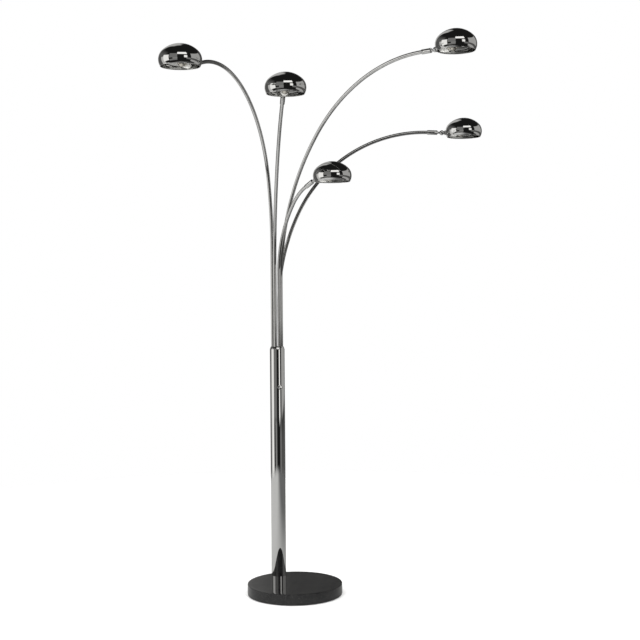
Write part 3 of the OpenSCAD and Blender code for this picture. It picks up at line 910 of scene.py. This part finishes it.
@dataclass
class StoneFoot:
    """The polished stone disc, its rubber pad and the cable gland."""

    edge_round: float = 0.0022
    well_radius: float = 0.027
    well_depth: float = 0.015
    hole_radius: float = 0.0104
    facets: int = 192

    def build(self, layout: Layout) -> None:
        """Makes the disc, the pad and the gland.

        Args:
            layout: the frame's places.
        """
        low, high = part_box("stone_base")
        radius = (high[0] - low[0]) / 2
        profile = rounded(
            [(0, low[2]), (radius, low[2]), (radius, high[2]), (0, high[2])], self.edge_round, 6
        )
        inner = [(r, low[2]) for r in (radius * 0.5, radius * 0.9)]
        outer = [(r, high[2]) for r in (radius * 0.9, radius * 0.5)]
        profile = profile[:1] + inner + profile[1:-1] + outer + profile[-1:]
        disc = bpy.data.meshes.new("disc")
        turned = lathe(profile, self.facets)
        turned.to_mesh(disc)
        turned.free()
        under = Vector((layout.post.x, layout.post.y, low[2] - 0.001))
        away = Vector((layout.post.x, layout.post.y, 0)).normalized()
        channel = Vector((layout.post.x, layout.post.y, low[2] + self.well_depth / 2)) + away * 0.021
        disc = cut(
            disc,
            bar(self.well_radius, self.well_depth + 0.001, Matrix.Translation(under)),
            bar(self.hole_radius, 0.06, Matrix.Translation(under)),
            bar(0.005, 0.04, along(channel, away)),
        )
        deliver("stone_disc", disc, "stand", [Finish.STONE], ["stone_base"], crease=30.0)
        deliver("floor_pad", machined("base_pad", 0.0004), "stand", [Finish.RUBBER], ["base_pad"])
        deliver("gland", machined("cable_gland", 0.0006), "stand", [Finish.PLASTIC], ["cable_gland"])


@dataclass
class Post:
    """The chrome post tube, its crown cap and the sleeves that the arms turn in."""

    wall: float = 0.0015
    lip: float = 0.0005
    facets: int = 160
    cap_bevel: float = 0.0004
    ring_radius: float = 0.00695
    ring_section: float = 0.00042

    def build(self, layout: Layout, rings: Recipe) -> None:
        """Makes the tube, the cap and the rings.

        Args:
            layout: the frame's places.
            rings: the tree that sets rings on points.
        """
        low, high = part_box("post_tube")
        outer = (high[0] - low[0]) / 2
        bore = outer - self.wall
        height = high[2] - low[2]
        corners = [(bore, 0), (outer, 0), (outer, height), (bore, height)]
        closed = rounded([corners[-1], *corners, corners[0]], self.lip, 3)[1:-1]
        shell = [p for p in closed]
        tube = bpy.data.meshes.new("post")
        turned = lathe(shell, self.facets, ring=True)
        turned.to_mesh(tube)
        turned.free()
        place = Matrix.Translation(layout.post)
        deliver("post", tube, "stand", [Finish.CHROME], ["post_tube"], place)
        deliver("crown", machined("crown_cap", self.cap_bevel), "stand", [Finish.CHROME], ["crown_cap"])
        seats = [layout.seat(n) + Vector((0, 0, 0.0001)) for n in range(1, ARMS + 1)]
        hoops = rings.run(
            points_mesh(seats, joined=False), Finish.CHROME,
            Ring_Radius=self.ring_radius, Section_Radius=self.ring_section,
        )
        deliver("crown_bushing_rings", hoops, "stand", [Finish.CHROME])


@dataclass
class Dimmer:
    """The dimmer's round nut and its knob with a gripped rim."""

    ribs: int = 30
    rib_radius: float = 0.00035
    knob_radius: float = 0.007
    knob_length: float = 0.011

    def build(self, layout: Layout, ribs: Recipe) -> None:
        """Makes the nut, the knob and its ribs.

        Args:
            layout: the frame's places.
            ribs: the tree that makes a ring of ribs.
        """
        start, facing = layout.dimmer()
        deliver("dimmer_ring_nut", machined("dimmer_nut", 0.0006), "stand", [Finish.CHROME], ["dimmer_nut"])
        deliver("knob", machined("dimmer_knob", 0.0003), "dimmer", [Finish.CHROME], ["dimmer_knob"])
        grip = ribs.run(
            points_mesh([Vector((0, 0, 0))], joined=False), Finish.CHROME, Count=self.ribs,
            Ring_Radius=self.knob_radius, Rib_Radius=self.rib_radius, Rib_Length=self.knob_length - 0.0045,
            Height=self.knob_length / 2 - 0.0006,
        )
        deliver("knob_grip", grip, "dimmer", [Finish.CHROME], place=along(start, facing))


@dataclass
class ArcArm:
    """One arm: a chrome tube with two bends, its sleeve with the ball fork, and the pivot pin."""

    number: int
    straight: float
    lower_radius: float
    lower_sweep: float
    upper_radius: float
    upper_sweep: float
    outer: float = 0.0065
    bore: float = 0.0053
    spigot: float = 0.0062
    spigot_length: float = 0.0195
    pin_distance: float = 0.057
    facets: int = 40

    def route(self, layout: Layout) -> list[Vector]:
        """Gives the tube's centre line, from its foot in the post to its end.

        Args:
            layout: the frame's places.

        Returns:
            The points in order.
        """
        seat, lean = layout.seat(self.number), layout.heading(self.number)
        up = Vector((0, 0, 1))
        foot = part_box(f"arm_tube_{self.number}")[0][2]
        points = [Vector((seat.x, seat.y, foot)), seat, seat + up * self.straight]
        heading = 0.0
        for radius, sweep in ((self.lower_radius, self.lower_sweep), (self.upper_radius, self.upper_sweep)):
            start, begin = points[-1], heading
            centre = start + (lean * math.cos(begin) - up * math.sin(begin)) * radius
            steps = max(24, round(sweep / 1.0))
            for k in range(1, steps + 1):
                turn = begin + math.radians(sweep) * k / steps
                points.append(centre - (lean * math.cos(turn) - up * math.sin(turn)) * radius)
            heading = begin + math.radians(sweep)
        return points

    def build(self, layout: Layout, sweep: Recipe) -> None:
        """Makes the arm's pieces.

        Args:
            layout: the frame's places.
            sweep: the tree that sweeps a tube.
        """
        points = self.route(layout)
        skin = sweep.run(
            points_mesh(points, joined=True), Finish.TUBE,
            Outer_Radius=self.outer, Bore_Radius=self.bore, Facets=self.facets,
        )
        shape = bmesh.new()
        shape.from_mesh(skin)
        for spot in (points[0], points[-1]):
            loops = [
                e for e in shape.edges
                if e.is_boundary and ((e.verts[0].co + e.verts[1].co) / 2 - spot).length < 2.5 * self.outer
            ]
            bmesh.ops.bridge_loops(shape, edges=loops)
        run = (layout.pivot(self.number) - points[-1]).normalized()
        stub = lathe(
            [(self.bore + 0.0003, -0.0005), (self.spigot, -0.0005), (self.spigot, self.spigot_length),
             (self.bore + 0.0003, self.spigot_length)], self.facets, ring=True,
        )
        bmesh.ops.transform(stub, matrix=along(points[-1], run), verts=stub.verts)
        data = bpy.data.meshes.new("stub")
        stub.to_mesh(data)
        stub.free()
        shape.from_mesh(data)
        body, n = f"arm_{self.number}", self.number
        deliver(f"arc_tube_{n}", shape, body, [Finish.TUBE], [f"arm_tube_{n}"])
        deliver(f"ball_fork_{n}", machined(f"arm_fork_{n}", 0.0005), body, [Finish.CHROME], [f"arm_fork_{n}"])
        deliver(f"fork_pin_{n}", machined(f"pivot_pin_{n}", 0.0002), body, [Finish.ZINC], [f"pivot_pin_{n}"])


@dataclass
class DomeShade:
    """One shade: the spun dome, its knuckle, the lampholder and the bulb."""

    number: int
    radius: float = 0.07
    rise: float = 0.052
    side: float = 0.04
    drop: float = 0.021
    wall: float = 0.0012
    reach: float = 0.0165
    lift: float = 0.006
    nipple: float = 0.00502
    holder_start: float = 0.0225
    holder_length: float = 0.034
    holder_radius: float = 0.013
    cap_radius: float = 0.007
    bulb_radius: float = 0.014
    facets: int = 144

    def _dome(self) -> tuple[Profile, list[int]]:
        """Gives the shell's closed profile and the finish of each step."""
        side_x = self.radius - self.side
        crown_z = ((self.rise - self.side) ** 2 - side_x ** 2) / 2 / (self.rise - self.side)
        crown = self.rise - crown_z
        join = math.atan2(-crown_z, side_x)
        rim = -math.asin(self.drop / self.side)
        wall = self.wall
        outside = arc((0.0, crown_z), crown, math.pi / 2, join, 26)[:-1] + arc((side_x, 0.0), self.side, join, rim, 34)
        bead = wall * 0.9
        middle = (
            side_x + (self.side - wall / 2) * math.cos(rim),
            (self.side - wall / 2) * math.sin(rim),
        )
        roll = arc(middle, bead, rim + 0.9, rim - math.pi - 0.9, 14)
        inside = arc((side_x, 0.0), self.side - wall, rim, join, 34)[1:] + arc(
            (0.0, crown_z), crown - wall, join, math.pi / 2, 26)[1:]
        profile = outside[:-1] + roll + inside
        bands = [0] * (len(outside) - 1 + len(roll) - 1) + [1] * len(inside)
        return profile, bands

    def _globe(self) -> tuple[Profile, list[int]]:
        """Gives the bulb's profile along its own axis, with its threaded cap, and its finishes."""
        start = self.holder_start + 0.013
        end = self.holder_start + self.holder_length
        thread: Profile = []
        turns, steps = 5, 8
        for k in range(turns * steps + 1):
            z = start + 0.003 + (end - start - 0.004) * k / (turns * steps)
            thread.append((self.cap_radius - 0.0006 + 0.0005 * math.cos(2 * math.pi * k / steps), z))
        tip: Profile = [(0, start), (0.003, start), (0.0045, start + 0.0015)]
        centre = end + self.bulb_radius + 0.005
        neck = self.cap_radius + 0.0018
        first = math.asin(neck / self.bulb_radius)
        globe = [
            (self.bulb_radius * math.sin(first + (math.pi - first) * k / 30),
             centre - self.bulb_radius * math.cos(first + (math.pi - first) * k / 30))
            for k in range(31)
        ]
        globe[-1] = (0.0, globe[-1][1])
        collar: Profile = [(self.cap_radius + 0.0006, end - 0.0005), (neck, end + 0.001)]
        metal = tip + thread + collar
        return metal + globe, [0] * (len(metal) - 1) + [1] * len(globe)

    def build(self, layout: Layout, ribs: Recipe) -> None:
        """Makes the shade's pieces.

        Args:
            layout: the frame's places.
            ribs: the tree that makes a ring of ribs.
        """
        n, body = self.number, f"shade_{self.number}"
        pivot, out = layout.pivot(n), layout.heading(n)
        centre = pivot + out * (self.reach + self.radius) + Vector((0, 0, self.lift))
        profile, bands = self._dome()
        shell = lathe(profile, self.facets, bands=bands)
        turn = Matrix.Rotation(math.atan2(out.y, out.x), 4, "Z")
        bmesh.ops.transform(shell, matrix=Matrix.Translation(centre) @ turn, verts=shell.verts)
        data = bpy.data.meshes.new("dome")
        shell.to_mesh(data)
        shell.free()
        deliver(f"dome_{n}", data, body, [Finish.CHROME, Finish.LACQUER], [f"shade_{n}"])
        deliver(f"knuckle_{n}", machined(f"shade_knuckle_{n}", 0.0005), body, [Finish.CHROME],
                [f"shade_knuckle_{n}"])
        axis = along(pivot, out)
        deliver(f"porcelain_{n}", machined(f"lampholder_{n}", 0.0008), body, [Finish.PORCELAIN],
                [f"lampholder_{n}"])
        grip = ribs.run(
            points_mesh([Vector((0, 0, 0))], joined=False), Finish.PORCELAIN, Count=36,
            Ring_Radius=self.holder_radius - 0.0001, Rib_Radius=0.0005, Rib_Length=0.012,
            Height=self.holder_start + self.holder_length - 0.0085,
        )
        deliver(f"porcelain_ribs_{n}", grip, body, [Finish.PORCELAIN], place=axis)
        globe, parts = self._globe()
        deliver(f"bulb_glass_{n}", lathe(globe, 64, bands=parts), body, [Finish.BRASS, Finish.OPAL],
                [f"bulb_{n}"], axis)


class HiddenParts:
    """The CAD nodes that stay as they are and only get their finish."""

    FINISHES: dict[str, Finish] = {
        "stone": Finish.STONE,
        "rubber": Finish.RUBBER,
        "steel": Finish.ZINC,
        "porcelain_white": Finish.PORCELAIN,
        "chrome": Finish.CHROME,
        "black_plastic": Finish.PLASTIC,
        "opal_glass": Finish.OPAL,
    }

    def build(self) -> None:
        """Gives every node the finish of its material slot."""
        slots = {part["node"]: part["material_slot"] for part in frame["record"]["subparts"]}
        for name, node in frame["nodes"].items():
            node.data.materials.clear()
            node.data.materials.append(PAINT.get(self.FINISHES[slots[name]]))
        LOG.info("finished %d nodes of the frame", len(frame["nodes"]))


# ---------------------------------------------------------------------------
# The studio
# ---------------------------------------------------------------------------


@dataclass(frozen=True)
class Panel:
    """A soft light panel or wall far away, by direction in degrees from the lamp.

    Azimuth 0 lies towards the viewer and grows to the right.
    """

    left: float
    right: float
    low: float
    high: float
    strength: float
    soft: float = 1.5


@dataclass
class Studio:
    """The floor, the lights, the surroundings that the chrome mirrors, and the camera."""

    panels: tuple[Panel, ...] = (
        Panel(-190.0, -109.0, -40.0, 30.0, 0.1, 5.0),
        Panel(-176.5, -150.0, -40.0, 60.0, 0.5, 7.0),
        Panel(-109.0, -84.0, -40.0, 12.0, 0.6, 5.0),
        Panel(-92.0, -56.0, -20.0, 21.0, 1.05),
        Panel(-53.0, -9.0, -2.5, 32.0, 0.2),
        Panel(-53.0, -9.0, -27.0, -14.0, 0.2),
        Panel(-34.0, -8.0, -15.0, -2.0, 0.26),
        Panel(-10.0, 44.0, 26.0, 44.0, 1.2),
        Panel(27.0, 44.0, -2.5, 17.0, 1.1),
        Panel(66.0, 134.0, -2.5, 31.0, 0.42),
        Panel(66.0, 134.0, -27.0, -14.0, 0.42),
        Panel(40.0, 66.0, -15.0, -2.5, 0.2, 4.0),
        Panel(66.0, 150.0, -15.0, -2.5, 0.1, 8.0),
        Panel(134.0, 190.0, -40.0, 30.0, 0.09, 6.0),
        Panel(-158.0, -72.0, 6.0, 36.0, 0.12, 24.0),
    )
    ceiling: float = 0.012
    floor_radius: float = 3.0
    sun: float = 4.4

    def _mask_group(self) -> bpy.types.ShaderNodeTree:
        """Builds the group that marks one soft rectangle of directions."""
        tree = bpy.data.node_groups.new("soft_rectangle", "ShaderNodeTree")
        names = ("Azimuth", "Elevation", "Left", "Right", "Low", "High", "Soft", "Strength")
        for name in names:
            tree.interface.new_socket(name=name, in_out="INPUT", socket_type="NodeSocketFloat")
        tree.interface.new_socket(name="Light", in_out="OUTPUT", socket_type="NodeSocketFloat")
        source = tree.nodes.new("NodeGroupInput")
        sink = tree.nodes.new("NodeGroupOutput")

        def maths(kind: str, a: object, b: object) -> bpy.types.NodeSocket:
            """Adds a two-input math node."""
            node = tree.nodes.new("ShaderNodeMath")
            node.operation = kind
            for slot, value in zip(node.inputs, (a, b)):
                if isinstance(value, bpy.types.NodeSocket):
                    tree.links.new(value, slot)
                else:
                    slot.default_value = value
            return node.outputs[0]

        def side(a: bpy.types.NodeSocket, b: bpy.types.NodeSocket) -> bpy.types.NodeSocket:
            """Gives 1 where a is past b, with a soft edge."""
            gap = maths("DIVIDE", maths("SUBTRACT", a, b), source.outputs["Soft"])
            return maths("MINIMUM", maths("MAXIMUM", maths("ADD", gap, 0.5), 0.0), 1.0)

        az, el = source.outputs["Azimuth"], source.outputs["Elevation"]
        wide = maths("MULTIPLY", side(az, source.outputs["Left"]), side(source.outputs["Right"], az))
        tall = maths("MULTIPLY", side(el, source.outputs["Low"]), side(source.outputs["High"], el))
        light = maths("MULTIPLY", maths("MULTIPLY", wide, tall), source.outputs["Strength"])
        tree.links.new(light, sink.inputs["Light"])
        return tree

    def surroundings(self) -> None:
        """Makes the world: white for the camera, panels and a dark ceiling for everything else."""
        world = bpy.data.worlds.new("studio")
        bpy.context.scene.world = world
        world.use_nodes = True
        tree = world.node_tree
        tree.nodes.clear()
        where = tree.nodes.new("ShaderNodeTexCoord")
        split = tree.nodes.new("ShaderNodeSeparateXYZ")
        tree.links.new(where.outputs["Generated"], split.inputs["Vector"])

        def maths(kind: str, *values: object) -> bpy.types.NodeSocket:
            """Adds a math node."""
            node = tree.nodes.new("ShaderNodeMath")
            node.operation = kind
            for slot, value in zip(node.inputs, values):
                if isinstance(value, bpy.types.NodeSocket):
                    tree.links.new(value, slot)
                else:
                    slot.default_value = value
            return node.outputs[0]

        azimuth = maths("DEGREES", maths("ARCTAN2", split.outputs["X"], maths("MULTIPLY", split.outputs["Y"], -1.0)))
        elevation = maths("DEGREES", maths("ARCSINE", split.outputs["Z"]))
        group = self._mask_group()
        total: object = self.ceiling
        for panel in self.panels:
            node = tree.nodes.new("ShaderNodeGroup")
            node.node_tree = group
            tree.links.new(azimuth, node.inputs["Azimuth"])
            tree.links.new(elevation, node.inputs["Elevation"])
            for name, value in (("Left", panel.left), ("Right", panel.right), ("Low", panel.low),
                                ("High", panel.high), ("Soft", panel.soft), ("Strength", panel.strength)):
                node.inputs[name].default_value = value
            total = maths("MAXIMUM", total, node.outputs["Light"])
        room = tree.nodes.new("ShaderNodeBackground")
        tree.links.new(total, room.inputs["Strength"])
        room.inputs["Color"].default_value = (1.0, 0.99, 0.97, 1.0)
        paper = tree.nodes.new("ShaderNodeBackground")
        paper.inputs["Color"].default_value = (1.0, 1.0, 1.0, 1.0)
        rays = tree.nodes.new("ShaderNodeLightPath")
        mix = tree.nodes.new("ShaderNodeMixShader")
        out = tree.nodes.new("ShaderNodeOutputWorld")
        tree.links.new(rays.outputs["Is Camera Ray"], mix.inputs["Fac"])
        tree.links.new(room.outputs["Background"], mix.inputs[1])
        tree.links.new(paper.outputs["Background"], mix.inputs[2])
        tree.links.new(mix.outputs["Shader"], out.inputs["Surface"])

    def floor(self) -> None:
        """Makes a round floor that fades out at its edge: pale for the camera, and painted shade for everything else,
        grey and darker towards +X.
        """
        shape = bmesh.new()
        bmesh.ops.create_circle(shape, cap_ends=True, segments=128, radius=self.floor_radius)
        data = bpy.data.meshes.new("floor")
        shape.to_mesh(data)
        shape.free()
        piece = bpy.data.objects.new("floor", data)
        piece.location = (0.0, 0.0, -0.0002)
        piece.visible_shadow = False
        bpy.context.scene.collection.objects.link(piece)
        work = Paintwork("pale_floor")
        work.set(Roughness=0.9, Specular_IOR_Level=0.1)
        tree = work.tree
        where = tree.nodes.new("ShaderNodeTexCoord")
        length = tree.nodes.new("ShaderNodeVectorMath")
        length.operation = "LENGTH"
        tree.links.new(where.outputs["Object"], length.inputs[0])
        fade = tree.nodes.new("ShaderNodeMapRange")
        fade.interpolation_type = "SMOOTHSTEP"
        fade.inputs["From Min"].default_value = self.floor_radius * 0.72
        fade.inputs["From Max"].default_value = self.floor_radius * 0.995
        fade.inputs["To Min"].default_value = 1.0
        fade.inputs["To Max"].default_value = 0.0
        tree.links.new(length.outputs["Value"], fade.inputs["Value"])
        work.feed(fade.outputs["Result"], "Alpha")
        # Painted shade: rays that are not camera rays, such as the chrome's reflections and bounced light, see a grey
        # floor, 0.4 on the left and fading to 0.1 towards +X. Camera rays see it pale.
        split = tree.nodes.new("ShaderNodeSeparateXYZ")
        tree.links.new(where.outputs["Object"], split.inputs["Vector"])
        side = tree.nodes.new("ShaderNodeMapRange")
        side.interpolation_type = "SMOOTHSTEP"
        for name, value in (("From Min", -0.6), ("From Max", 1.2), ("To Min", 0.0), ("To Max", 1.0)):
            side.inputs[name].default_value = value
        tree.links.new(split.outputs["X"], side.inputs["Value"])
        mirrored = work.blend(side.outputs["Result"], (0.4, 0.4, 0.395), (0.1, 0.1, 0.1))
        rays = tree.nodes.new("ShaderNodeLightPath")
        work.feed(work.blend(rays.outputs["Is Camera Ray"], mirrored, (0.86, 0.86, 0.855)), "Base Color")
        data.materials.append(work.material)

    def lights(self) -> None:
        """Makes a broad soft light from above and a fill, neither mirrored in the chrome."""
        rows = (
            ("overhead", "SUN", (0.0, 0.0, 3.0), (0.25, -0.15, 0.0), self.sun, math.radians(100.0)),
            ("front_fill", "SUN", (0.0, -3.0, 2.0), (math.radians(60.0), 0.0, 0.2), 0.8, math.radians(80.0)),
            ("floor_bounce", "SUN", (0.0, 0.0, -1.0), (math.radians(180.0), 0.0, 0.0), 5.0, math.radians(120.0)),
        )
        for name, kind, place, turn, strength, spread in rows:
            data = bpy.data.lights.new(name, kind)
            data.energy = strength
            data.angle = spread
            lamp = bpy.data.objects.new(name, data)
            lamp.location = place
            lamp.rotation_euler = turn
            lamp.visible_glossy = False
            bpy.context.scene.collection.objects.link(lamp)

    def camera(self) -> None:
        """Makes the camera: level, far away, with the horizon above the picture's middle."""
        data = bpy.data.cameras.new("camera")
        data.sensor_width = 36.0
        data.lens = 36.0 * 1192.5 / 640.0
        data.shift_y = -33.8 / 640.0
        data.clip_end = 100.0
        eye = bpy.data.objects.new("camera", data)
        eye.location = (0.1013, -4.4124, 1.136)
        eye.rotation_euler = (math.radians(90.0), math.radians(0.45), 0.0)
        bpy.context.scene.collection.objects.link(eye)
        bpy.context.scene.camera = eye

    def build(self) -> None:
        """Makes everything round the lamp."""
        self.surroundings()
        self.floor()
        self.lights()
        self.camera()
        bpy.context.scene.view_settings.view_transform = "Standard"
        LOG.info("studio ready")


def main() -> None:
    """Builds the lamp and the studio in order."""
    logging.basicConfig(level=logging.INFO, format="%(name)s %(message)s")
    layout = Layout()
    sweep, rings, ribs = swept_tube_recipe(), ring_recipe(), rib_recipe()
    HiddenParts().build()
    StoneFoot().build(layout)
    Post().build(layout, rings)
    Dimmer().build(layout, ribs)
    arms = (
        ArcArm(1, 0.375, 1.05, 15.0, 0.465, 94.0),
        ArcArm(2, 0.294, 0.5, 30.0, 0.82, 32.5),
        ArcArm(3, 0.281, 0.435, 37.0, 0.18, 27.5),
        ArcArm(4, 0.242, 0.865, 39.5, 0.635, 51.0),
        ArcArm(5, 0.165, 0.795, 26.0, 0.545, 65.0),
    )
    for arm in arms:
        arm.build(layout, sweep)
        DomeShade(arm.number).build(layout, ribs)
    Studio().build()


if __name__ == "__main__":
    main()
